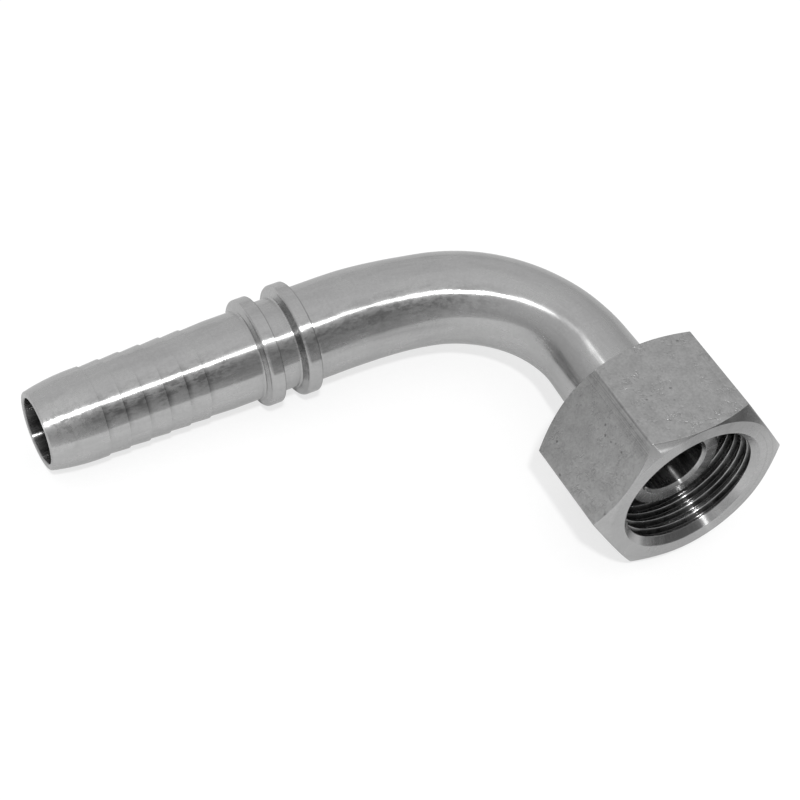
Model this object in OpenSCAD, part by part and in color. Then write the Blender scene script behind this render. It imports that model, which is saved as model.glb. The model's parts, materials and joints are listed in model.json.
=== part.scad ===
// Swivel elbow for a crimped hose: a one-piece stem with a barbed hose tail at
// one end and a cone nose at the other, bent to a right angle, and the captive
// hex nut that turns on its neck. All sizes are in millimetres.
//
// The elbow is drawn in a working frame first: the middle of the nose's front
// face is the origin, the nut's axis is Y with its mouth towards -Y, and the
// hose tail leaves towards -X. resting() then lays the elbow on a table.

/* [Swivel nut] */
// Width of the hexagon across its flats
nut_af = 27; // [25.5:0.1:32]
// Length of the nut from its mouth face to its back face
nut_len = 17.2; // [16.5:0.1:24]
// How far the corner chamfer runs down each corner of the hexagon
nut_corner_chamfer = 1.25; // [0.6:0.05:2.2]
// Slope of the corner chamfer, measured from the end face
nut_chamfer_angle = 30; // [20:1:45]
// Turn of the hexagon about its axis, from a corner in the plane of the bend
nut_turn = 1; // [0:1:59]
// How far the nut's mouth stands in front of the nose
nut_overhang = 4.8; // [2:0.1:6]
// Chamfer at the back of the bore that turns on the neck
nut_back_chamfer = 0.5; // [0.2:0.1:1]

/* [Nut thread] */
// Nominal diameter of the metric thread
thread_d = 22; // [21:0.5:24]
// Pitch of the thread
thread_pitch = 1.5; // [1:0.25:2]
// Depth of the 45 degree countersink at the thread's mouth
countersink = 1; // [0.4:0.05:1.4]

/* [Cone nose] */
// Diameter of the nose's front face
nose_d = 14.8; // [13.5:0.1:15.5]
// Full angle of the sealing cone
cone_angle = 24; // [20:1:30]
// Length of the sealing cone
cone_len = 6.2; // [4:0.1:7]
// Length of the plain land behind the cone
head_land = 0.8; // [0.4:0.1:1.5]
// Chamfer at the mouth of the flow bore in the nose
nose_bore_chamfer = 0.45; // [0.2:0.05:0.8]
// Rounding of the nose's outer front edge
nose_edge_r = 0.3; // [0.1:0.05:0.5]

/* [Bent tube] */
// Outer diameter of the tube
tube_d = 14; // [13:0.1:14.6]
// Diameter of the flow bore through the whole stem
bore_d = 9.8; // [8:0.1:10.4]
// Straight neck from the nose's front face to the bend
neck_len = 22.8; // [20:0.1:40]
// Centre-line radius of the tight part of the bend
bend_r = 21.2; // [16:0.1:30]
// Angle turned by the tight part of the bend
bend_angle = 76; // [60:1:82]
// Centre-line radius of the easy part that runs out into the hose tail
easy_r = 62.5; // [30:0.5:80]
// Angle between the nut's axis and the hose tail
elbow_angle = 90; // [84:1:110]
// Straight tube between the bend and the first collar
run_len = 5.4; // [3:0.1:20]
// How much thinner each part of the bend is drawn than the tube before it, on the radius
bend_draw = 0.03; // [0.02:0.01:0.1]

/* [Collars] */
// Width of each collar at its foot
collar_w = 2.5; // [1.5:0.1:4]
// Diameter of the collar beside the bend
rear_collar_d = 16.9; // [15.6:0.1:18]
// Diameter of the collar beside the hose tail
front_collar_d = 16.3; // [15.6:0.1:18]
// Lean of each collar's hose-side face from its foot to its rim
collar_lean = 0.35; // [0:0.05:0.6]
// Rounding of each collar's hose-side rim
collar_edge_r = 0.5; // [0.2:0.05:0.6]
// Fillet at the foot of each collar's hose-side face
collar_foot_r = 0.3; // [0.1:0.05:0.4]
// Width of the locking groove between the collars
groove_w = 3.27; // [2:0.01:6]
// Diameter at the bottom of the locking groove
groove_d = 13.7; // [12.5:0.1:14.2]

/* [Hose tail] */
// Length of the tail from the collar to the tip
tail_len = 32.5; // [30:0.1:60]
// Diameter of the plain seat and of every barb's crest
tail_d = 13.44; // [12.6:0.02:13.9]
// Depth of each barb's step
barb_depth = 0.2; // [0.1:0.05:0.4]
// Distance from one barb's step to the next
barb_pitch = 3.12; // [2.5:0.01:3.8]
// Full-diameter part of the plain seat beside the collar
seat_len = 4.6; // [2:0.1:6]
// Distance from the collar to the first barb's step
first_barb = 8.5; // [7:0.1:12]
// Diameter of the tail where it meets its end face
tip_d = 11.8; // [11.2:0.1:12.4]
// Length over which the last barb curves in to the tip
tip_len = 7.5; // [5:0.1:9]
// Rounding of the tip's outer edge
tip_edge_r = 0.3; // [0.1:0.05:0.4]
// Chamfer at the mouth of the flow bore in the tip
tip_bore_chamfer = 0.15; // [0.05:0.05:0.3]

/* [Fits] */
// Gap between the neck and the nut's back bore, on the radius
neck_gap = 0.25; // [0.1:0.05:0.5]
// Gap between the head's back slope and the nut's inner shoulder
shoulder_gap = 0.25; // [0.1:0.05:0.5]

/* [Resting pose] */
// Rise of the nut's mouth when the elbow lies on a table
rest_roll = 5.9; // [0:0.1:30]
// Drop of the tail's tip when the elbow lies on a table
rest_pitch = 3; // [0:0.1:15]

/* [Hidden] */
$fn = 96;

// How far a cut runs past its face, and how far one stretch of tube laps the next
cut = 1;
lap = 0.5;
hex_sides = 6;
bright_steel = [0.68, 0.68, 0.67];
drawn_steel = [0.58, 0.58, 0.57];

// Radii of the stem
tube_r = tube_d / 2;
bore_r = bore_d / 2;
nose_r = nose_d / 2;
tail_r = tail_d / 2;
tip_r = tip_d / 2;
groove_r = groove_d / 2;
head_r = nose_r + cone_len * tan(cone_angle / 2);

// Stations along the nut's axis, from the nose's front face towards the bend
land_end = cone_len + head_land;
head_end = land_end + head_r - tube_r;

// Stations along the hose tail, from the rear collar's face towards the tip
groove_start = collar_w;
groove_end = groove_start + groove_w;
tail_start = groove_end + collar_w;
tip_end = tail_start + tail_len;
curve_start = tip_end - tip_len;
barb_start = tail_start + first_barb;
barb_count = floor((curve_start - barb_start - barb_depth) / barb_pitch) + 1;

// What the tight part of the bend leaves for the easy part to turn
easy_angle = elbow_angle - bend_angle;

// Inside of the nut: the thread's wall stands at the minor diameter, and a 45
// degree gap is wider along the axis than square to the slope by root two
thread_minor_r = thread_d / 2 - 0.54127 * thread_pitch;
nut_bore_r = tube_r + neck_gap;
nut_front = -nut_overhang;
nut_back = nut_front + nut_len;
shoulder_end = head_end - neck_gap + shoulder_gap * sqrt(2);
shoulder_start = shoulder_end - (thread_minor_r - nut_bore_r);

// Outside of the nut
nut_corner_r = nut_af / 2 / cos(180 / hex_sides);
nut_face_r = nut_corner_r - nut_corner_chamfer / tan(nut_chamfer_angle);

// Points on a round stretch of radius r about centre c, from angle a0 to a1
function arc(c, r, a0, a1, n = 6) =
    [for (i = [0:n]) let (a = a0 + (a1 - a0) * i / n) c + r * [cos(a), sin(a)]];

// Outline of one collar that starts at station s: a square face and a sharp rim
// towards the bend, a rounded rim and a leaning, filleted face towards the hose
function collar_outline(s, r, foot_r) =
    let (rim_s = s + collar_w - collar_lean, foot_s = s + collar_w)
    concat(
        [[r, s]],
        arc([r - collar_edge_r, rim_s - collar_edge_r], collar_edge_r, 0, 90),
        arc([foot_r + collar_foot_r, foot_s + collar_foot_r], collar_foot_r, -90, -180)
    );

// Each barb steps up on the side of the collars and falls away towards the tip,
// so that the hose slides on easily and is held when it is pulled
function barb_outline() =
    [for (i = [0:barb_count - 1], step = [0, 1])
        [tail_r - barb_depth * (1 - step), barb_start + i * barb_pitch + barb_depth / 2 * step]];

// The last barb curves in to the tip on one arc and ends in a rounded edge
function tip_outline() =
    let (
        drop = tail_r - tip_r,
        run = tip_len - tip_edge_r,
        curve_r = (run * run + drop * drop) / (2 * drop)
    )
    concat(
        arc([tail_r - curve_r, curve_start], curve_r, 0, asin(run / curve_r), 8),
        arc([tip_r - tip_edge_r, tip_end - tip_edge_r], tip_edge_r, 10, 90)
    );

function tail_outline() =
    concat(
        [[0, 0]],
        collar_outline(0, rear_collar_d / 2, groove_r),
        [[groove_r, groove_end]],
        collar_outline(groove_end, front_collar_d / 2, tail_r),
        [[tail_r, tail_start + seat_len]],
        barb_outline(),
        tip_outline(),
        [[0, tip_end]]
    );

// Nose, sealing cone, land and the back slope that the nut pulls on
function head_outline() =
    concat(
        [[0, 0]],
        arc([nose_r - nose_edge_r, nose_edge_r], nose_edge_r, -90, -cone_angle / 2),
        [[head_r, cone_len], [head_r, land_end], [tube_r, head_end], [0, head_end]]
    );

// Hollow of the nut: countersink, thread bore, inner shoulder and back bore
function nut_hollow_outline() =
    [
        [0, nut_front - cut],
        [thread_minor_r + countersink + cut, nut_front - cut],
        [thread_minor_r, nut_front + countersink],
        [thread_minor_r, shoulder_start],
        [nut_bore_r, shoulder_end],
        [nut_bore_r, nut_back - nut_back_chamfer],
        [nut_bore_r + nut_back_chamfer + cut, nut_back + cut],
        [0, nut_back + cut]
    ];

// Outside turning of the nut: a cone at each end takes the corners off
function nut_turned_outline() =
    let (cone_h = nut_corner_chamfer + cut * tan(nut_chamfer_angle))
    [
        [0, nut_front],
        [nut_face_r, nut_front],
        [nut_corner_r + cut, nut_front + cone_h],
        [nut_corner_r + cut, nut_back - cone_h],
        [nut_face_r, nut_back],
        [0, nut_back]
    ];

// Turns an outline of [radius, station] points about the Y axis
module turned(outline) {
    rotate([-90, 0, 0]) rotate_extrude() polygon(outline);
}

// A straight round bar along Y
module bar(r, from, to) {
    translate([0, from, 0]) rotate([-90, 0, 0]) cylinder(r = r, h = to - from);
}

// A 45 degree cone that opens a bore of radius r at station s, towards -Y
module bore_mouth(r, s, chamfer) {
    translate([0, s - cut, 0]) rotate([-90, 0, 0])
        cylinder(r1 = r + chamfer + cut, r2 = r, h = chamfer + cut);
}

// One stretch of bend: a round bar of radius r turned through an angle, which
// starts a little before the origin
module bend_stretch(r, centre_r, angle, before = 0) {
    lead_angle = before / centre_r * 180 / PI;
    translate([-centre_r, 0, 0]) rotate([0, 0, -lead_angle])
        rotate_extrude(angle = angle + lead_angle) translate([centre_r, 0]) circle(r);
}

// Moves along a bend that starts at the origin towards +Y, to its end
module past_bend(centre_r, angle) {
    translate([-centre_r, 0, 0]) rotate([0, 0, angle]) translate([centre_r, 0, 0]) children();
}

module at_easy_bend() {
    translate([0, neck_len, 0]) past_bend(bend_r, bend_angle) children();
}

module at_run() {
    at_easy_bend() past_bend(easy_r, easy_angle) children();
}

module at_tail() {
    at_run() translate([0, run_len, 0]) children();
}

// Round bar of radius r that follows the whole centre line. Each straight
// stretch laps the thinner bend beside it, so that no two faces just touch.
module run_through(r, start, tail_end) {
    bar(r, start, neck_len + lap);
    translate([0, neck_len, 0]) bend_stretch(r - 2 * bend_draw, bend_r, bend_angle);
    at_easy_bend() bend_stretch(r - bend_draw, easy_r, easy_angle, lap);
    at_run() bar(r, -lap, run_len + tail_end);
}

// Lays the elbow on a table: on the nut's back edge and the two collars
module resting() {
    rotate([-rest_roll, 0, 0]) rotate([0, -rest_pitch, 0]) children();
}

module hose_stem() {
    color(bright_steel) resting() difference() {
        union() {
            turned(head_outline());
            run_through(tube_r, land_end, cut);
            at_tail() turned(tail_outline());
        }
        run_through(bore_r, -cut, tip_end + cut);
        bore_mouth(bore_r, 0, nose_bore_chamfer);
        at_tail() translate([0, tip_end, 0]) mirror([0, 1, 0]) bore_mouth(bore_r, 0, tip_bore_chamfer);
    }
}

module swivel_nut() {
    color(drawn_steel) resting() difference() {
        intersection() {
            translate([0, nut_front, 0]) rotate([-90, 0, 0]) rotate([0, 0, -nut_turn])
                cylinder(r = nut_corner_r, h = nut_len, $fn = hex_sides);
            turned(nut_turned_outline());
        }
        turned(nut_hollow_outline());
    }
}

hose_stem();
swivel_nut();
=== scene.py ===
import json
import math

import bpy
import numpy as np
from mathutils import Matrix, Vector


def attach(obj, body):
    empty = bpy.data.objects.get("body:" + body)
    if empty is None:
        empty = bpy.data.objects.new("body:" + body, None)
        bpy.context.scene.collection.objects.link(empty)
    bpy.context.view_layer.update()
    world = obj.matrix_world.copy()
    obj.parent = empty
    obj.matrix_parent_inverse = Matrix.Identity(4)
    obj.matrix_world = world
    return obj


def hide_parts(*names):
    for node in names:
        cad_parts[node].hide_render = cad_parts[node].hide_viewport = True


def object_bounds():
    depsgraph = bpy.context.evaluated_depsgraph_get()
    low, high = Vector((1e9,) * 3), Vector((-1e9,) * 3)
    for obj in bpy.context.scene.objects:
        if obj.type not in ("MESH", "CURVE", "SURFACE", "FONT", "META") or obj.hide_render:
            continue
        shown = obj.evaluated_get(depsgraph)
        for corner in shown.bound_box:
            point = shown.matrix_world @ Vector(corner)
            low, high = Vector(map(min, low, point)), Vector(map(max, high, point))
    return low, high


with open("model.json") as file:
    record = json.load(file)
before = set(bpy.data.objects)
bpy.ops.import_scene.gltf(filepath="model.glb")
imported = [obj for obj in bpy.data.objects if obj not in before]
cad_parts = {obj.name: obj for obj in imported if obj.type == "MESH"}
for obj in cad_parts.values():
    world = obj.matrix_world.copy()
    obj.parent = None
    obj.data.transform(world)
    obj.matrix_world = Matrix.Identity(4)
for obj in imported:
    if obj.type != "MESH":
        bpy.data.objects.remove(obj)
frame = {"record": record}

CAD_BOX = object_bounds()

# Lengths are in millimetres and angles in degrees, in the elbow's working frame: the
# middle of the nose's front face is the origin, the nut's axis is Y with its mouth
# towards -Y, and the hose tail leaves towards -X. Along the stem, s is the distance
# from the nose's face on the middle line, and r is a radius. Angles round the stem
# and the nut count from the outer side of the bend through the side towards +Z.
MM = 0.001
# What counts as no distance at all
TINY = 1e-6

# Bent tube: neck, tight part and easy part of the bend, and straight run
NECK_LEN = 22.8
BEND_R = 21.2
BEND_ANGLE = 76
EASY_R = 62.5
EASY_ANGLE = 14
RUN_LEN = 5.4
TUBE_R = 7.0
BORE_R = 4.9
# Clear of the nut the tube is a little fuller beside the collar and flattened in the
# bend's plane: (distance before the rear collar, change of radius)
CLEAR_OF_NUT = 1
TUBE_SWELL = [(0, 0.18), (9, 0.18), (18, 0.0)]
TUBE_FLATTENING = [(9, 0.0), (18, -0.12), (28, -0.14), (38, -0.42), (45, -0.42), (53, -0.1), (60, 0.0)]

# Cone nose and head
NOSE_R = 7.4
NOSE_EDGE_R = 0.3
NOSE_BORE_CHAMFER = 0.45
CONE_ANGLE = 24
CONE_LEN = 6.2
HEAD_LAND = 0.8

# Collars, and the locking groove between them
COLLAR_W = 2.5
REAR_COLLAR_R = 8.45
FRONT_COLLAR_R = 8.15
COLLAR_LEAN = 0.35
COLLAR_EDGE_R = 0.5
COLLAR_FOOT_R = 0.3
GROOVE_W = 3.27
GROOVE_R = 6.85

# Hose tail. Its tip is a long curve that ends in a rounding from TIP_EDGE_START on.
TAIL_LEN = 32.5
TAIL_R = 6.72
BARB_DEPTH = 0.2
BARB_LEAN = 0.04
BARB_PITCH = 3.12
BARB_COUNT = 6
SEAT_LEN = 4.6
FIRST_BARB = 8.5
TIP_R = 5.9
TIP_LEN = 7.5
TIP_EDGE_R = 0.3
TIP_EDGE_START = 10
TIP_BORE_CHAMFER = 0.15

# Swivel nut. NUT_TURN is the angle of its first corner.
NUT_AF = 27
NUT_FRONT = -4.8
NUT_BACK = 12.4
NUT_TURN = 1
CORNER_CHAMFER = 1.25
CHAMFER_ANGLE = 30
CORNER_ROUND = 0.22
COUNTERSINK = 1.0
NECK_BORE_R = 7.25
NUT_BACK_CHAMFER = 0.5
SHOULDER_END = 8.82

# Internal thread: the radius of its root, its pitch and the standard height of its
# ridges, where it ends, where a ridge is at angle 0, and the length over which the
# ridges rise behind the countersink
THREAD_R = 11.0
THREAD_PITCH = 1.5
THREAD_DEPTH = 0.54127 * THREAD_PITCH
THREAD_END = 4.6
RIDGE_Y = 0.4
THREAD_LEAD = 0.3

# How finely the surfaces are drawn: columns round the stem and the nut, and steps along
# the stem's outline and the thread
STEM_SIDES = 144
NUT_SIDES = 288
PATH_STEP = 0.8
THREAD_STEP = 0.05
# From an edge to the points that keep it crisp, and the same at a barb's step
EDGE_GUARD = 0.06
SHARP_GUARD = 0.015
# The shortest stretch of the stem's outline that gets such points
GUARDED_LEN = 4 * EDGE_GUARD
# Extra columns on both sides of each corner of the nut, in degrees from it
CORNER_COLUMNS = (0.1, 0.25, 0.4, 0.55, 0.75, 1.2, 2.0)
# Rows across the nut's chamfers, as shares of their width, rows just past a chamfer,
# and how many spans the flats and the back face have
CHAMFER_ROWS = (0.0, 0.04, 0.2, 0.4, 0.6, 0.8, 0.97)
FLAT_GUARD = 0.03
FLAT_MARGIN = 0.1
FLAT_SPANS = 12
BACK_SPANS = 5

# Painted shade and marks, from none at 0 to black at 1. Painted shade in the flow bore,
# with the depth from the tip and from the nose, and how much darker the nose's face is:
TAIL_BORE_PAINTED_SHADE = [(0, 0.3), (0.5, 0.6), (2.5, 0.75), (8, 0.95)]
NOSE_BORE_PAINTED_SHADE = [(0, 0.2), (0.5, 0.35), (4, 0.6), (8, 0.95)]
NOSE_DARKENING = 0.3
# Painted shade in the thread, with the distance from the middle of a root, and how much of
# it stays: the mean, and how much less on the side whose reflection is lighter
THREAD_PAINTED_SHADE = [(0, 0.97), (0.4, 0.95), (0.5, 0.7), (0.54, 0.0), (0.59, 0.0), (0.65, 0.65), (0.75, 0.75)]
THREAD_SHADE_MEAN = 0.8
THREAD_SHADE_CHANGE = 0.2
LIGHTER_THREAD_SIDE = 325
# A painted dark reflection on the countersink, by the angle round the nut
SINK_PAINTED_REFLECTION = [(225, 0), (250, 0.4), (284, 0.62), (290, 0.3), (298, 0)]
# Scribed rings on the nut's face, as radius and darkness, the angle where they are
# darkest, and how fast they fade from there
SCRIBED_RINGS = [(12.3, 0.3), (13.2, 0.16)]
SCRIBED_MIDDLE = -10
SCRIBED_FADING = 1.6
# Painted shade at the collars' sharp edges, at the barbs' steps, and the share of that just before them
COLLAR_EDGE_PAINTED_SHADE = 0.55
STEP_PAINTED_SHADE = 0.85
BEFORE_STEP = 0.5
# How far these dark lines reach
COLLAR_LINE = 1.1 * EDGE_GUARD
STEP_LINE = 1.5 * SHARP_GUARD
BEFORE_STEP_LINE = 2 * EDGE_GUARD

# How smudged and how worn the stem is, with the distance from the tip's end
SMUDGES = [(5, 0.0), (9, 0.5), (26, 0.5), (30, 0.2), (34, 0.3), (62, 0.4), (78, 0.0)]
TIP_WEAR = [(0, 1.0), (4, 0.9), (9, 0.0)]
# The side of the stem that has the painted shade at the steps, the smudges and the wear: its angle, and
# how narrow it is
STEP_SHADE_SIDE = (140, 12)
SMUDGE_SIDE = (134, 24)
WORN_SIDE = (130, 8)


def mount(name):
    return next(m for m in frame["record"]["mounts"] if m["name"] == name)


# The working frame's axes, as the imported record's mounts give them
ORIGIN = Vector(mount("cone_seat")["pos_m"])
AXIS_X = -Vector(mount("hose_tail")["axis"]).normalized()
AXIS_Y = -Vector(mount("cone_seat")["axis"]).normalized()
AXIS_Z = AXIS_X.cross(AXIS_Y).normalized()
BASIS = np.array([AXIS_X, AXIS_Y, AXIS_Z])


def to_row(points):
    """Points of the working frame in millimetres, as points of the row frame in metres."""
    return np.asarray(points, float) @ BASIS * MM + np.array(ORIGIN)


def row_vector(x, y, z):
    return Vector(to_row([[x, y, z]])[0])


def direction(azimuth):
    """The row frame's direction at an angle from +X in the plane of the bend."""
    angle = math.radians(azimuth)
    return (row_vector(math.cos(angle), math.sin(angle), 0) - ORIGIN).normalized()


def curve_through(points, x):
    """The value at x on a line through (x, value) points, flat outside them."""
    return np.interp(x, [place for place, _ in points], [value for _, value in points])


# Lengths of the bend's two parts, and the places on the middle line where others start
TIGHT_LEN = BEND_R * math.radians(BEND_ANGLE)
EASY_LEN = EASY_R * math.radians(EASY_ANGLE)
REAR_COLLAR = NECK_LEN + TIGHT_LEN + EASY_LEN + RUN_LEN
FRONT_COLLAR = REAR_COLLAR + COLLAR_W + GROOVE_W
TAIL_START = FRONT_COLLAR + COLLAR_W
TIP_END = TAIL_START + TAIL_LEN
BARB_STEPS = [TAIL_START + FIRST_BARB + i * BARB_PITCH for i in range(BARB_COUNT)]


def along_tube(s):
    """The middle line's point and direction at s, both in the plane of the bend."""
    if s <= NECK_LEN:
        return np.array([0, s]), np.array([0, 1])
    turn = min(s - NECK_LEN, TIGHT_LEN) / BEND_R
    point = np.array([BEND_R * (math.cos(turn) - 1), NECK_LEN + BEND_R * math.sin(turn)])
    if s > NECK_LEN + TIGHT_LEN:
        middle = point - EASY_R * np.array([math.cos(turn), math.sin(turn)])
        turn += min(s - NECK_LEN - TIGHT_LEN, EASY_LEN) / EASY_R
        point = middle + EASY_R * np.array([math.cos(turn), math.sin(turn)])
    ahead = np.array([-math.sin(turn), math.cos(turn)])
    past_bend = max(0, s - NECK_LEN - TIGHT_LEN - EASY_LEN)
    return point + past_bend * ahead, ahead


def arc(centre, radius, start, end, steps=6):
    """Points (r, s) on a rounding, from one angle to another."""
    turns = [math.radians(start + (end - start) * i / steps) for i in range(steps + 1)]
    return [(centre[0] + radius * math.cos(turn), centre[1] + radius * math.sin(turn)) for turn in turns]


def collar_outline(s, r, foot_r):
    """A collar with a sharp rear edge, a rounded front edge and a filleted foot."""
    rim = s + COLLAR_W - COLLAR_LEAN
    foot = s + COLLAR_W
    return (
        arc((r - EDGE_GUARD, s + EDGE_GUARD), EDGE_GUARD, -90, 0, steps=3)
        + arc((r - COLLAR_EDGE_R, rim - COLLAR_EDGE_R), COLLAR_EDGE_R, 0, 90)
        + arc((foot_r + COLLAR_FOOT_R, foot + COLLAR_FOOT_R), COLLAR_FOOT_R, -90, -180)
    )


def barb_outline():
    points = []
    low_r = TAIL_R - BARB_DEPTH
    for step in BARB_STEPS:
        top = step + BARB_LEAN
        points += [(low_r, step - SHARP_GUARD), (low_r, step), (TAIL_R, top), (TAIL_R, top + SHARP_GUARD)]
    return points


def tip_outline():
    drop = TAIL_R - TIP_R
    run = TIP_LEN - TIP_EDGE_R
    curve_r = (run * run + drop * drop) / (2 * drop)
    sweep = math.degrees(math.asin(run / curve_r))
    return (
        arc((TAIL_R - curve_r, TIP_END - TIP_LEN), curve_r, 0, sweep, steps=10)
        + arc((TIP_R - TIP_EDGE_R, TIP_END - TIP_EDGE_R), TIP_EDGE_R, TIP_EDGE_START, 90)
    )


def stem_outline():
    """The stem's whole section in (r, s): outside from nose to tip, then back through the bore."""
    head_r = NOSE_R + CONE_LEN * math.tan(math.radians(CONE_ANGLE / 2))
    land_end = CONE_LEN + HEAD_LAND
    return (
        [(BORE_R, NOSE_BORE_CHAMFER), (BORE_R + NOSE_BORE_CHAMFER, 0)]
        + arc((NOSE_R - NOSE_EDGE_R, NOSE_EDGE_R), NOSE_EDGE_R, -90, -CONE_ANGLE / 2)
        + [(head_r, CONE_LEN), (head_r, land_end), (TUBE_R, land_end + head_r - TUBE_R)]
        + [(TUBE_R, REAR_COLLAR)]
        + collar_outline(REAR_COLLAR, REAR_COLLAR_R, GROOVE_R)
        + [(GROOVE_R, FRONT_COLLAR)]
        + collar_outline(FRONT_COLLAR, FRONT_COLLAR_R, TAIL_R)
        + [(TAIL_R, TAIL_START + SEAT_LEN)]
        + barb_outline()
        + tip_outline()
        + [(BORE_R + TIP_BORE_CHAMFER, TIP_END), (BORE_R, TIP_END - TIP_BORE_CHAMFER)]
    )


def guarded(points, step):
    """The outline with points at every step of a long stretch, and close to both of its ends."""
    dense = []
    for start, end in zip(points, points[1:] + points[:1]):
        start, end = np.array(start, float), np.array(end, float)
        span = np.linalg.norm(end - start)
        if span < TINY:
            continue
        shares = [0.0]
        if span > GUARDED_LEN:
            pieces = max(1, math.ceil(span / step))
            shares += [EDGE_GUARD / span]
            shares += [i / pieces for i in range(1, pieces)]
            shares += [1 - EDGE_GUARD / span]
        dense += [tuple(start + (end - start) * share) for share in shares]
    return dense


def one_side(angles, side):
    """1 at the side's own angle, falling to 0 a quarter turn from it or sooner."""
    middle, narrowness = side
    return np.clip(np.cos(angles - math.radians(middle)), 0, 1) ** narrowness


def stem_painted_shade(r, s, step_shade):
    """How dark the stem is painted at (r, s): painted shade in the bore, at the barbs' steps and at the
    collars' edges, and a darker nose face. The last argument is the painted shade that a barb's step has
    at each angle.
    """
    if r < BORE_R + TINY:
        return curve_through(TAIL_BORE_PAINTED_SHADE if s > NECK_LEN else NOSE_BORE_PAINTED_SHADE, min(s, TIP_END - s))
    if s < NOSE_EDGE_R:
        return NOSE_DARKENING
    for step in BARB_STEPS:
        if -TINY < step - s < STEP_LINE:
            return step_shade
        if 0 < step - s < BEFORE_STEP_LINE:
            return step_shade * BEFORE_STEP
    for start, collar_r in ((REAR_COLLAR, REAR_COLLAR_R), (FRONT_COLLAR, FRONT_COLLAR_R)):
        if abs(s - start) < COLLAR_LINE and r > collar_r - COLLAR_LINE:
            return COLLAR_EDGE_PAINTED_SHADE
    return 0


def stem_ring(r, s, angles):
    """One ring of the stem's skin, square to the middle line."""
    point, ahead = along_tube(s)
    outwards = np.array([ahead[1], -ahead[0], 0])
    in_plane_r = r
    if NUT_BACK + CLEAR_OF_NUT < s < REAR_COLLAR and r > BORE_R + TINY:
        r += curve_through(TUBE_SWELL, REAR_COLLAR - s)
        in_plane_r = r + curve_through(TUBE_FLATTENING, REAR_COLLAR - s)
    ring = np.outer(in_plane_r * np.cos(angles), outwards) + np.outer(r * np.sin(angles), [0, 0, 1])
    return ring + np.array([point[0], point[1], 0])


def stem_grid():
    """Points of the stem's skin, its marks and painted shade at each of them, and the angles of the
    columns.
    """
    angles = np.arange(STEM_SIDES) * 2 * math.pi / STEM_SIDES - math.pi / 2
    # painted shade at the barbs' steps, on one side of the stem
    step_shade = STEP_PAINTED_SHADE * one_side(angles, STEP_SHADE_SIDE)
    smudge_side = one_side(angles, SMUDGE_SIDE)
    worn_side = one_side(angles, WORN_SIDE)
    grid = []
    marks = {"marks_and_painted_shade": [], "worn": [], "smudge": []}
    for r, s in guarded(stem_outline(), PATH_STEP):
        grid.append(stem_ring(r, s, angles))
        # the painted shade in the bore, at the barbs' steps and at the collars' edges, and the darker
        # nose face
        marks["marks_and_painted_shade"].append(np.broadcast_to(stem_painted_shade(r, s, step_shade), angles.shape))
        marks["worn"].append(worn_side * curve_through(TIP_WEAR, TIP_END - s))
        marks["smudge"].append(smudge_side * curve_through(SMUDGES, TIP_END - s))
    return np.array(grid)[::-1], {name: np.array(rings)[::-1] for name, rings in marks.items()}, angles


# Half of the angle that a flat covers, and the chamfer's slope
HALF_FLAT = math.radians(30)
CHAMFER_SLOPE = math.tan(math.radians(CHAMFER_ANGLE))
# Radii of the thread's ridges, of the countersink's rim and of the nut's end faces
MINOR_R = THREAD_R - THREAD_DEPTH
RIM_R = MINOR_R + COUNTERSINK
FACE_R = NUT_AF / 2 / math.cos(HALF_FLAT) - CORNER_CHAMFER / CHAMFER_SLOPE


def hexagon_r(angle):
    """Distance from the nut's axis to its side at an angle, with each corner slightly rounded."""
    off = (angle - math.radians(NUT_TURN)) % (2 * HALF_FLAT) - HALF_FLAT
    flat = NUT_AF / 2 / np.cos(off)
    # the rounded corner is a circle of radius CORNER_ROUND that touches both sides
    centre_r = (NUT_AF / 2 - CORNER_ROUND) / math.cos(HALF_FLAT)
    beside = HALF_FLAT - np.abs(off)
    reach = centre_r * np.cos(beside) + np.sqrt(
        np.maximum(CORNER_ROUND ** 2 - (centre_r * np.sin(beside)) ** 2, 0)
    )
    touch = np.arctan2(
        CORNER_ROUND * math.sin(HALF_FLAT), centre_r + CORNER_ROUND * math.cos(HALF_FLAT)
    )
    return np.where(beside < touch, reach, flat)


def thread_r(angle, y):
    """Radius of the right-hand thread's wall, and the distance from the middle of its root."""
    crest = THREAD_PITCH / 4
    root = THREAD_PITCH / 8
    phase = (y + angle / (2 * math.pi) * THREAD_PITCH - RIDGE_Y) % THREAD_PITCH
    from_root = np.abs(phase - THREAD_PITCH / 2)
    flank = (THREAD_PITCH - crest - root) / 2
    rise = np.clip((from_root - root / 2) / flank, 0, 1)
    return THREAD_R - THREAD_DEPTH * rise, from_root


def nut_columns():
    """Angles of the nut's columns: even, with more beside each corner."""
    angles = [np.arange(NUT_SIDES) * 2 * math.pi / NUT_SIDES]
    for i in range(6):
        corner = math.radians(NUT_TURN + 60 * i)
        beside = np.radians(CORNER_COLUMNS)
        angles += [corner - beside, [corner], corner + beside]
    # rounded, so that columns that fall together become one
    return np.unique(np.round(np.mod(np.concatenate(angles), 2 * math.pi), 6))


def nut_face_rows(angles):
    """Rows (radius, y, darkness) of the front face, from the countersink's rim outwards."""
    scribed = np.cos(angles - math.radians(SCRIBED_MIDDLE)) * SCRIBED_FADING - (SCRIBED_FADING - 1)
    rows = [
        (RIM_R - EDGE_GUARD, NUT_FRONT + EDGE_GUARD, 0),
        (RIM_R, NUT_FRONT, 0),
        (RIM_R + EDGE_GUARD, NUT_FRONT, 0),
    ]
    for ring_r, darkness in SCRIBED_RINGS:
        rows.append((ring_r - EDGE_GUARD, NUT_FRONT, 0))
        rows.append((ring_r, NUT_FRONT, darkness * np.clip(scribed, 0, 1)))
        rows.append((ring_r + EDGE_GUARD, NUT_FRONT, 0))
    rows.append((FACE_R - EDGE_GUARD, NUT_FRONT, 0))
    return rows


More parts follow.
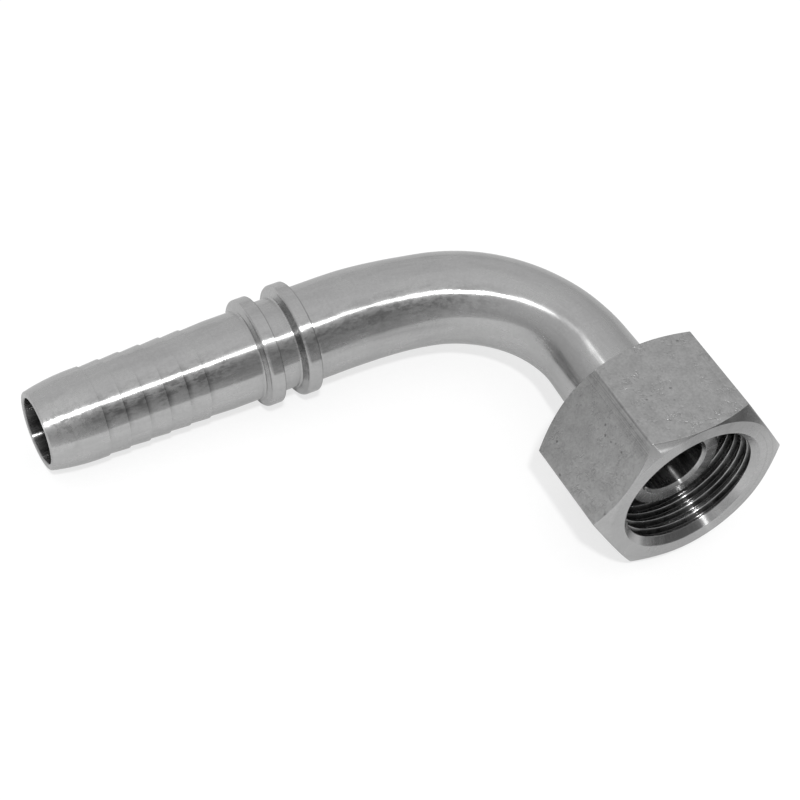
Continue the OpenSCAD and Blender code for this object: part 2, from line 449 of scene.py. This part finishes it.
def nut_side_rows(angles):
    """Rows of the corner chamfers, which meet each flat along a curve, and of the flats."""
    side = hexagon_r(angles)
    rise = (side - FACE_R) * CHAMFER_SLOPE
    chamfer = [(FACE_R + (side - FACE_R) * share, rise * share) for share in CHAMFER_ROWS]
    chamfer.append((side, rise + FLAT_GUARD))
    start = NUT_FRONT + rise + FLAT_MARGIN
    end = NUT_BACK - rise - FLAT_MARGIN
    rows = [(r, NUT_FRONT + depth, 0) for r, depth in chamfer]
    rows += [(side, start + (end - start) * i / FLAT_SPANS, 0) for i in range(FLAT_SPANS + 1)]
    rows += [(r, NUT_BACK - depth, 0) for r, depth in reversed(chamfer)]
    return rows


def nut_back_rows():
    """Rows of the back face, from its edge inwards, of the bore on the neck and of its shoulder."""
    rim_r = NECK_BORE_R + NUT_BACK_CHAMFER
    bore_start = NUT_BACK - NUT_BACK_CHAMFER
    shoulder_start = SHOULDER_END - (MINOR_R - NECK_BORE_R)
    rows = [(FACE_R - EDGE_GUARD, NUT_BACK, 0)]
    for i in range(BACK_SPANS - 1, 0, -1):
        rows.append((rim_r + (FACE_R - rim_r) * i / BACK_SPANS, NUT_BACK, 0))
    rows += [
        (rim_r + EDGE_GUARD, NUT_BACK, 0),
        (rim_r, NUT_BACK, 0),
        (NECK_BORE_R, bore_start, 0),
        (NECK_BORE_R, bore_start - EDGE_GUARD, 0),
        (NECK_BORE_R, SHOULDER_END + EDGE_GUARD, 0),
        (NECK_BORE_R, SHOULDER_END, 0),
        (MINOR_R - EDGE_GUARD, shoulder_start + EDGE_GUARD, 0),
        (MINOR_R, shoulder_start, 0),
        (MINOR_R, shoulder_start - EDGE_GUARD, 0),
    ]
    return rows


def nut_thread_rows(angles):
    """Rows of the threaded bore and the countersink, towards the front."""
    mouth = NUT_FRONT + COUNTERSINK
    # painted shade in the thread, lighter on the side that reflects more light
    thread_shade = THREAD_SHADE_MEAN - THREAD_SHADE_CHANGE * np.cos(angles - math.radians(LIGHTER_THREAD_SIDE))
    # a painted dark reflection on part of the countersink
    sink_reflection = curve_through(SINK_PAINTED_REFLECTION, np.degrees(angles))
    rows = []
    for y in np.arange(THREAD_END, NUT_FRONT + EDGE_GUARD, -THREAD_STEP):
        # the ridges run out into the plain bore, and the countersink cuts their mouth
        height = min(1.0, (THREAD_END - y) / THREAD_PITCH, max(0.0, (y - mouth) / THREAD_LEAD))
        wall, from_root = thread_r(angles, y)
        r = np.maximum(MINOR_R + (wall - MINOR_R) * height, RIM_R - (y - NUT_FRONT))
        rows.append((r, y, curve_through(THREAD_PAINTED_SHADE, from_root) * thread_shade if y > mouth else sink_reflection))
    return rows


def nut_grid():
    """Points of the nut's skin, the painted shade and marks at each of them, and the angles of the
    columns.
    """
    angles = nut_columns()
    rows = nut_face_rows(angles) + nut_side_rows(angles) + nut_back_rows() + nut_thread_rows(angles)
    grid = []
    marks_and_painted_shade = []
    for r, y, darkness in rows:
        ring = np.broadcast_arrays(r * np.cos(angles), y, r * np.sin(angles))
        grid.append(np.stack(ring, axis=1))
        # painted shade in the thread, a painted dark reflection on the countersink, and the scribed rings
        marks_and_painted_shade.append(np.broadcast_to(darkness, angles.shape))
    return np.array(grid)[::-1], {"marks_and_painted_shade": np.array(marks_and_painted_shade)[::-1]}, angles


def wrapped_mesh(name, grid, marks, angles):
    """A closed quad mesh of a grid of points [row][column] that wraps both ways.

    Its UV map runs round the work in u, in turns, and along the outline in v, in
    metres. marks has a number per grid point under each name, kept as a vertex
    attribute, and angles are those of the columns.
    """
    rows, columns = grid.shape[:2]
    row, column = np.meshgrid(np.arange(rows), np.arange(columns), indexing="ij")
    next_row = (row + 1) % rows
    next_column = (column + 1) % columns
    corners = ((row, column), (row, next_column), (next_row, next_column), (next_row, column))
    faces = np.stack([at_row * columns + at_column for at_row, at_column in corners], axis=-1)
    lengths = np.linalg.norm(grid[next_row[:, 0], 0] - grid[:, 0], axis=1) * MM
    end = np.cumsum(lengths)[row]
    start = end - lengths[row]
    turns = np.append(angles, angles[0] + 2 * math.pi) / (2 * math.pi)
    left = turns[column]
    right = turns[column + 1]
    uv = np.stack([left, start, right, start, right, end, left, end], axis=-1)
    mesh = bpy.data.meshes.new(name)
    mesh.from_pydata(to_row(grid.reshape(-1, 3)).tolist(), [], faces.reshape(-1, 4).tolist())
    layer = mesh.uv_layers.new(name="turning")
    layer.data.foreach_set("uv", uv.astype(np.float32).ravel())
    for label, values in marks.items():
        layer = mesh.attributes.new(label, "FLOAT", "POINT")
        layer.data.foreach_set("value", values.astype(np.float32).ravel())
    mesh.shade_smooth()
    return add_object(name, mesh)


def add_object(name, data):
    obj = bpy.data.objects.new(name, data)
    bpy.context.scene.collection.objects.link(obj)
    return obj


# The most that a face of a flat leans towards the nut's axis, as a sine
FLAT_LEAN = 0.3


def mark_turned_faces(obj):
    """Every face of the nut that isn't part of a flat gets its second material."""
    for face in obj.data.polygons:
        away = Vector(face.center) - ORIGIN
        outwards = away - AXIS_Y * away.dot(AXIS_Y)
        on_flat = abs(face.normal.dot(AXIS_Y)) < FLAT_LEAN and face.normal.dot(outwards) > 0
        if not on_flat:
            face.material_index = 1


# Camera
CAMERA_AT = (-135.87, -146.19, 241.52)
CAMERA_TARGET = (-28.86, 27.83, 0)
CAMERA_UP_ANGLE = 61.58
CAMERA_LENS = 99.43
CAMERA_SENSOR = 36
CAMERA_NEAR = 10


def look_at(eye, target, up):
    back = (eye - target).normalized()
    right = up.cross(back).normalized()
    matrix = Matrix((right, back.cross(right), back)).transposed().to_4x4()
    matrix.translation = eye
    return matrix


def add_camera():
    data = bpy.data.cameras.new("camera")
    data.lens = CAMERA_LENS
    data.sensor_width = CAMERA_SENSOR
    data.sensor_fit = "HORIZONTAL"
    data.clip_start = CAMERA_NEAR * MM
    camera = add_object("camera", data)
    up = direction(CAMERA_UP_ANGLE)
    camera.matrix_world = look_at(row_vector(*CAMERA_AT), row_vector(*CAMERA_TARGET), up)
    bpy.context.scene.camera = camera


class Nodes:
    """Short calls for building a node tree."""

    def __init__(self, tree):
        self.tree = tree

    def add(self, kind, **settings):
        node = self.tree.nodes.new(kind)
        for key, value in settings.items():
            setattr(node, key, value)
        return node

    def put(self, socket, value):
        if isinstance(value, bpy.types.NodeSocket):
            self.tree.links.new(value, socket)
        else:
            socket.default_value = value

    def math(self, operation, *values):
        node = self.add("ShaderNodeMath", operation=operation)
        for socket, value in zip(node.inputs, values):
            self.put(socket, value)
        return node.outputs[0]

    def times(self, *factors):
        """The product of two or more factors."""
        product = factors[0]
        for factor in factors[1:]:
            product = self.math("MULTIPLY", product, factor)
        return product

    def rest(self, share):
        """What a share leaves of 1."""
        return self.math("SUBTRACT", 1.0, share)

    def vector(self, operation, first, second=None):
        """The node of a vector operation."""
        node = self.add("ShaderNodeVectorMath", operation=operation)
        self.put(node.inputs[0], first)
        if second is not None:
            self.put(node.inputs[1], tuple(second))
        return node

    def dot(self, vector, fixed):
        return self.vector("DOT_PRODUCT", vector, fixed).outputs["Value"]

    def step(self, value, low, high, to_low=0.0, to_high=1.0):
        """Smoothly from to_low at low to to_high at high."""
        node = self.add("ShaderNodeMapRange", interpolation_type="SMOOTHSTEP")
        for socket, number in zip(node.inputs, (value, low, high, to_low, to_high)):
            self.put(socket, number)
        return node.outputs[0]

    def vary(self, noise, least, most):
        """From least to most over the range that a noise mostly covers."""
        return self.step(noise, 0.3, 0.7, least, most)

    def ramp(self, value, stops):
        """A grey ramp through (position, brightness) stops."""
        node = self.add("ShaderNodeValToRGB")
        elements = node.color_ramp.elements
        while len(elements) > 1:
            elements.remove(elements[-1])
        for i, (position, level) in enumerate(stops):
            element = elements[0] if i == 0 else elements.new(position)
            element.position = position
            element.color = (level, level, level, 1)
        self.put(node.inputs[0], value)
        return node.outputs["Color"]

    def mix(self, factor, first, second):
        """A number that goes from first to second as factor goes from 0 to 1."""
        node = self.add("ShaderNodeMix", data_type="FLOAT")
        self.put(node.inputs[0], factor)
        self.put(node.inputs[2], first)
        self.put(node.inputs[3], second)
        return node.outputs[0]

    def grey(self, level):
        """A grey colour of a linked level."""
        node = self.add("ShaderNodeCombineColor")
        for socket in node.inputs:
            self.put(socket, level)
        return node.outputs[0]

    def noise(self, vector, scale, detail=2.0, roughness=0.5):
        """A noise with so many marks to a unit of the vector."""
        node = self.add("ShaderNodeTexNoise")
        self.put(node.inputs["Vector"], vector)
        self.put(node.inputs["Scale"], scale)
        self.put(node.inputs["Detail"], detail)
        self.put(node.inputs["Roughness"], roughness)
        return node.outputs["Fac"]

    def grain(self, uv, to_turn, to_metre, detail, roughness=0.5):
        """A noise with so many marks to a turn of the work and to a metre along its outline."""
        stretched = self.vector("MULTIPLY", uv, (to_turn, to_metre, 1)).outputs[0]
        return self.noise(stretched, 1, detail, roughness)

    def mark(self, name):
        """A mark that the mesh keeps at its vertices, 0 where it has none."""
        return self.add("ShaderNodeAttribute", attribute_name=name).outputs["Fac"]

    def bump(self, shader, height, metres):
        """Relief of a height from 0 to 1, that many metres deep."""
        node = self.add("ShaderNodeBump")
        self.put(node.inputs["Height"], height)
        self.put(node.inputs["Distance"], metres)
        self.put(shader.inputs["Normal"], node.outputs[0])


# Studio: three walls, as (height above the plane of the bend, brightness), where 1 is
# white. The back and the front wall stand round a middle, given as an angle from +X.
# The cosine of the angle from it has two limits: above the second there is only that
# wall, and below the first there is none of it and the side wall shows.
CEILING = 0.95
ZENITH = 1.06
# Keeps the level part of a direction off zero straight above and below
LEVEL_GUARD = 1e-4
SIDE_WALL = [(0, 0.7), (12, 0.62), (20, 0.7), (32, 0.76), (50, 0.84), (65, CEILING), (90, ZENITH)]
BACK_WALL = [(-20, 0.84), (0, 0.86), (50, 0.88), (65, CEILING), (90, ZENITH)]
BACK_MIDDLE = 80
BACK_LIMITS = (0.45, 0.95)
FRONT_WALL = [
    (0, 0.74), (8, 0.6), (14, 0.54), (24, 0.39), (34, 0.35),
    (42, 0.5), (52, 0.8), (60, CEILING), (90, ZENITH),
]
FRONT_MIDDLE = -75
FRONT_LIMITS = (0.72, 0.97)
# Dark round panel in the plane of the bend: the angle of its middle and of its
# radius, how far the cosine of that is blurred outwards and inwards, and its brightness
PANEL_MIDDLE = -50
PANEL_SIZE = 24
PANEL_BLUR = (0.05, 0.06)
PANEL_LIGHT = 0.18
# Compact lamp, which gives the white line along the stem: its place, width and watts
LAMP_AT = (-235, -424, 868)
LAMP_SIZE = 66
LAMP_POWER = 6.0


def add_world():
    world = bpy.data.worlds.new("studio")
    world.use_nodes = True
    nodes = Nodes(world.node_tree)
    ahead = nodes.add("ShaderNodeTexCoord").outputs["Generated"]
    rise = nodes.dot(ahead, AXIS_Z)
    level = nodes.math("SQRT", nodes.math("MAXIMUM", nodes.rest(nodes.times(rise, rise)), LEVEL_GUARD))
    height = nodes.math("DIVIDE", nodes.math("ARCSINE", rise), math.pi)
    on_ramp = nodes.math("ADD", height, 0.5)

    def wall(stops):
        return nodes.ramp(on_ramp, [(angle / 180 + 0.5, brightness) for angle, brightness in stops])

    def towards(azimuth, limits):
        return nodes.step(nodes.math("DIVIDE", nodes.dot(ahead, direction(azimuth)), level), *limits)

    front = nodes.mix(towards(FRONT_MIDDLE, FRONT_LIMITS), wall(SIDE_WALL), wall(FRONT_WALL))
    light = nodes.mix(towards(BACK_MIDDLE, BACK_LIMITS), front, wall(BACK_WALL))
    edge = math.cos(math.radians(PANEL_SIZE))
    panel = nodes.dot(ahead, direction(PANEL_MIDDLE))
    light = nodes.mix(nodes.step(panel, edge - PANEL_BLUR[0], edge + PANEL_BLUR[1]), light, PANEL_LIGHT)
    seen = nodes.add("ShaderNodeLightPath").outputs["Is Camera Ray"]
    background = world.node_tree.nodes["Background"]
    nodes.put(background.inputs["Color"], (1, 1, 1, 1))
    nodes.put(background.inputs["Strength"], nodes.mix(seen, light, 1.0))
    bpy.context.scene.world = world


def add_lamp():
    data = bpy.data.lights.new("lamp", "AREA")
    data.shape = "DISK"
    data.size = LAMP_SIZE * MM
    data.energy = LAMP_POWER
    lamp = add_object("lamp", data)
    lamp.matrix_world = look_at(row_vector(*LAMP_AT), row_vector(*CAMERA_TARGET), AXIS_Y)


# Floor: its half width, the reflectance of its paint, and how much of its light is its
# own, for the camera and for what the metal reflects
FLOOR_HALF = 3000
FLOOR_PAINT = 0.9
FLOOR_GLOW = 0.7
MIRRORED_GLOW = 0.28
# What the metal reflects of it has the near light, except towards the panel: there it
# falls to the far light over these distances from the nut, and to the panel's light
# right below the panel. Both limits are cosines of the angle from the panel's middle.
FLOOR_NEAR = 30
FLOOR_FAR = 150
NEAR_LIGHT = 0.92
FAR_LIGHT = 0.66
PANEL_SIDE_LIMITS = (0.7, 0.9)
BELOW_PANEL_LIMITS = (0.86, 0.95)


def mirrored_light(nodes, z):
    """How light the metal sees the floor."""
    place = nodes.add("ShaderNodeTexCoord").outputs["Object"]
    from_nut = nodes.vector("SUBTRACT", place, (ORIGIN.x, ORIGIN.y, z)).outputs[0]
    distance = nodes.vector("LENGTH", from_nut).outputs["Value"]
    panel_way = nodes.math("DIVIDE", nodes.dot(from_nut, direction(PANEL_MIDDLE)), distance)
    light = nodes.step(distance, FLOOR_NEAR * MM, FLOOR_FAR * MM, NEAR_LIGHT, FAR_LIGHT)
    light = nodes.mix(nodes.step(panel_way, *PANEL_SIDE_LIMITS), NEAR_LIGHT, light)
    clear_of_nut = nodes.step(distance, FLOOR_NEAR * MM, 2 * FLOOR_NEAR * MM)
    below_panel = nodes.times(nodes.step(panel_way, *BELOW_PANEL_LIMITS), clear_of_nut)
    return nodes.mix(below_panel, light, PANEL_LIGHT)


def floor_paint(z):
    """White for the camera, with the object's shadow, and darker in what the metal reflects."""
    material = bpy.data.materials.new("floor_paint")
    material.use_nodes = True
    nodes = Nodes(material.node_tree)
    path = nodes.add("ShaderNodeLightPath")
    mirrored = path.outputs["Is Glossy Ray"]
    light = nodes.mix(mirrored, 1.0, mirrored_light(nodes, z))
    glow = nodes.add("ShaderNodeEmission")
    nodes.put(glow.inputs["Strength"], light)
    paint = nodes.add("ShaderNodeBsdfDiffuse")
    nodes.put(paint.inputs["Color"], nodes.grey(nodes.times(light, FLOOR_PAINT)))
    seen_glow = nodes.times(path.outputs["Is Camera Ray"], FLOOR_GLOW)
    surface = nodes.add("ShaderNodeMixShader")
    nodes.put(surface.inputs[0], nodes.math("ADD", seen_glow, nodes.times(mirrored, MIRRORED_GLOW)))
    nodes.put(surface.inputs[1], paint.outputs[0])
    nodes.put(surface.inputs[2], glow.outputs[0])
    nodes.put(material.node_tree.nodes["Material Output"].inputs["Surface"], surface.outputs[0])
    return material


def add_floor():
    z = CAD_BOX[0][2]
    half = FLOOR_HALF * MM
    mesh = bpy.data.meshes.new("floor")
    corners = [(-half, -half, z), (half, -half, z), (half, half, z), (-half, half, z)]
    mesh.from_pydata(corners, [], [(0, 1, 2, 3)])
    floor = add_object("floor", mesh)
    floor.data.materials.append(floor_paint(z))


# Steels: how much light they reflect, and less of it edge on, their roughness, and
# how deep their relief is in metres
TURNED_LIGHT = 0.42
TURNED_ROUGHNESS = 0.23
TURNED_RELIEF = 0.000002
FLAT_LIGHT = 0.352
FLAT_ROUGHNESS = 0.42
FLAT_RELIEF = 0.000054
EDGE_TINT = (0.75, 0.75, 0.75, 1)
# How much brighter and rougher wear makes the turned steel
WEAR_SHINE = 0.45
WEAR_ROUGHNESS = 0.2
# On the flats: how much painted shade darkens the creases and how much darker pits are, and
# the depth of the skin and of a crease beside that of a pit
CREASE_SHADE = 0.12
PIT_SHADE = 0.45
SKIN_DEPTH = 0.5
CREASE_DEPTH = 0.68
# Draw marks: how dark, where on a flat they begin and end, as shares of its width, the
# flat that has the strongest, counted from the nut's first corner, and what the rest have
DRAW_SHADE = 0.34
DRAW_START = (0.0, 0.015)
DRAW_END = (0.07, 0.17)
MARKED_FLAT = 2
OTHER_FLATS = 0.25


def new_metal(name, roughness):
    """A metal material, its nodes and its shader."""
    material = bpy.data.materials.new(name)
    material.use_nodes = True
    nodes = Nodes(material.node_tree)
    shader = material.node_tree.nodes["Principled BSDF"]
    nodes.put(shader.inputs["Metallic"], 1)
    nodes.put(shader.inputs["Roughness"], roughness)
    nodes.put(shader.inputs["Specular Tint"], EDGE_TINT)
    return material, nodes, shader


def stretch_gloss(nodes, shader):
    """Turning marks run round the work, so its gloss is stretched across them."""
    nodes.put(shader.inputs["Anisotropic"], 1)
    nodes.put(shader.inputs["Anisotropic Rotation"], 0.25)
    tangent = nodes.add("ShaderNodeTangent", direction_type="UV_MAP", uv_map="turning")
    nodes.put(shader.inputs["Tangent"], tangent.outputs["Tangent"])


def turned_steel(name, line_height, wave_height):
    """Turned and plated steel: fine rings, a mottled gloss, and marks and painted shade where the mesh
    has them.
    """
    material, nodes, shader = new_metal(name, TURNED_ROUGHNESS)
    stretch_gloss(nodes, shader)
    uv = nodes.add("ShaderNodeUVMap", uv_map="turning").outputs["UV"]
    place = nodes.add("ShaderNodeTexCoord").outputs["Object"]
    lines = nodes.grain(uv, to_turn=2, to_metre=14000, detail=2)
    rings = nodes.grain(uv, to_turn=5, to_metre=3000, detail=3)
    streaks = nodes.grain(uv, to_turn=34, to_metre=110, detail=4, roughness=0.65)
    smears = nodes.grain(uv, to_turn=60, to_metre=500, detail=4, roughness=0.7)
    mottle = nodes.noise(place, scale=2600, detail=3)
    patches = nodes.noise(place, scale=210, detail=3)
    scuffs = nodes.noise(place, scale=900, detail=4, roughness=0.7)
    smudge = nodes.times(nodes.mark("smudge"), nodes.step(smears, 0.42, 0.62))
    worn = nodes.times(nodes.mark("worn"), nodes.step(scuffs, 0.4, 0.6))
    level = nodes.times(
        TURNED_LIGHT,
        nodes.vary(patches, 0.95, 1.04),
        nodes.vary(streaks, 0.93, 1.05),
        nodes.vary(rings, 0.985, 1.01),
        nodes.vary(mottle, 0.97, 1.03),
        # painted shade in hollows and at edges, and the scribed rings, darken the colour
        nodes.rest(nodes.mark("marks_and_painted_shade")),
        nodes.rest(smudge),
        nodes.math("MULTIPLY_ADD", worn, WEAR_SHINE, 1.0),
    )
    nodes.put(shader.inputs["Base Color"], nodes.grey(level))
    dull = nodes.step(patches, 0.35, 0.7, -0.03, 0.04)
    dull = nodes.math("ADD", dull, nodes.vary(streaks, -0.04, 0.05))
    dull = nodes.math("MULTIPLY_ADD", worn, WEAR_ROUGHNESS, dull)
    nodes.put(shader.inputs["Roughness"], nodes.math("ADD", dull, TURNED_ROUGHNESS))
    height = nodes.math("ADD", nodes.times(nodes.math("ADD", lines, rings), line_height), mottle)
    height = nodes.math("MULTIPLY_ADD", streaks, wave_height, height)
    nodes.bump(shader, height, TURNED_RELIEF)
    return material


def creases(nodes, place):
    """Short creases, which lie where a wavy field crosses its middle, in patches."""
    field = nodes.noise(place, scale=1100, detail=3, roughness=0.6)
    crossing = nodes.math("ABSOLUTE", nodes.math("SUBTRACT", field, 0.5))
    breaks = nodes.step(nodes.noise(place, scale=700), 0.42, 0.6)
    patches = nodes.step(nodes.noise(place, scale=160), 0.3, 0.6)
    return nodes.times(nodes.step(crossing, 0.0, 0.1, 1.0, 0.0), breaks, patches)


def pits(nodes, place):
    """Small round pits, in a few patches."""
    cells = nodes.add("ShaderNodeTexVoronoi", feature="F1")
    nodes.put(cells.inputs["Vector"], place)
    nodes.put(cells.inputs["Scale"], 700)
    patches = nodes.step(nodes.noise(place, scale=330, detail=1), 0.56, 0.64)
    return nodes.times(nodes.step(cells.outputs["Distance"], 0.06, 0.2, 1.0, 0.0), patches)


def draw_marks(nodes):
    """How dark the fine lines are that run beside one end of each flat, strongest on one flat."""
    uv = nodes.add("ShaderNodeUVMap", uv_map="turning").outputs["UV"]
    turn = nodes.add("ShaderNodeSeparateXYZ")
    nodes.put(turn.inputs[0], uv)
    sixth = nodes.math("SUBTRACT", nodes.times(turn.outputs[0], 6), NUT_TURN / 60)
    along = nodes.math("FRACT", sixth)
    beside = nodes.times(nodes.step(along, *DRAW_START), nodes.step(along, *DRAW_END, 1.0, 0.0))
    strongest = nodes.math("COMPARE", nodes.math("FLOOR", sixth), MARKED_FLAT, 0.5)
    strength = nodes.math("MULTIPLY_ADD", strongest, 1 - OTHER_FLATS, OTHER_FLATS)
    lines = nodes.grain(uv, to_turn=620, to_metre=30, detail=2)
    return nodes.times(nodes.step(lines, 0.35, 0.6, DRAW_SHADE, 0.0), nodes.times(beside, strength))


def drawn_steel(name):
    """Plated bar stock: satin flats with a fine uneven skin, creases, pits and draw marks."""
    material, nodes, shader = new_metal(name, FLAT_ROUGHNESS)
    place = nodes.add("ShaderNodeTexCoord").outputs["Object"]
    skin = nodes.noise(place, scale=2600, detail=3, roughness=0.6)
    clouds = nodes.noise(place, scale=500, detail=3, roughness=0.6)
    crease = creases(nodes, place)
    pit = pits(nodes, place)
    level = nodes.times(
        FLAT_LIGHT,
        nodes.vary(clouds, 0.91, 1.06),
        nodes.vary(skin, 0.92, 1.07),
        # painted shade in the creases
        nodes.rest(nodes.times(crease, CREASE_SHADE)),
        nodes.rest(nodes.times(pit, PIT_SHADE)),
        nodes.rest(draw_marks(nodes)),
    )
    nodes.put(shader.inputs["Base Color"], nodes.grey(level))
    dents = nodes.math("MULTIPLY_ADD", crease, CREASE_DEPTH, pit)
    height = nodes.math("SUBTRACT", nodes.times(skin, SKIN_DEPTH), dents)
    nodes.bump(shader, nodes.math("ADD", height, clouds), FLAT_RELIEF)
    return material


stem = wrapped_mesh("stem_skin", *stem_grid())
stem.data.materials.append(turned_steel("stem_turned_steel", line_height=0.15, wave_height=4.0))
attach(stem, "stem")
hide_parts("hose_stem")

nut = wrapped_mesh("nut_skin", *nut_grid())
nut.data.materials.append(drawn_steel("nut_drawn_steel"))
nut.data.materials.append(turned_steel("nut_turned_steel", line_height=2.0, wave_height=0.0))
mark_turned_faces(nut)
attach(nut, "nut")
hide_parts("swivel_nut")

add_camera()
add_floor()
add_world()
add_lamp()
bpy.context.scene.view_settings.view_transform = "Standard"
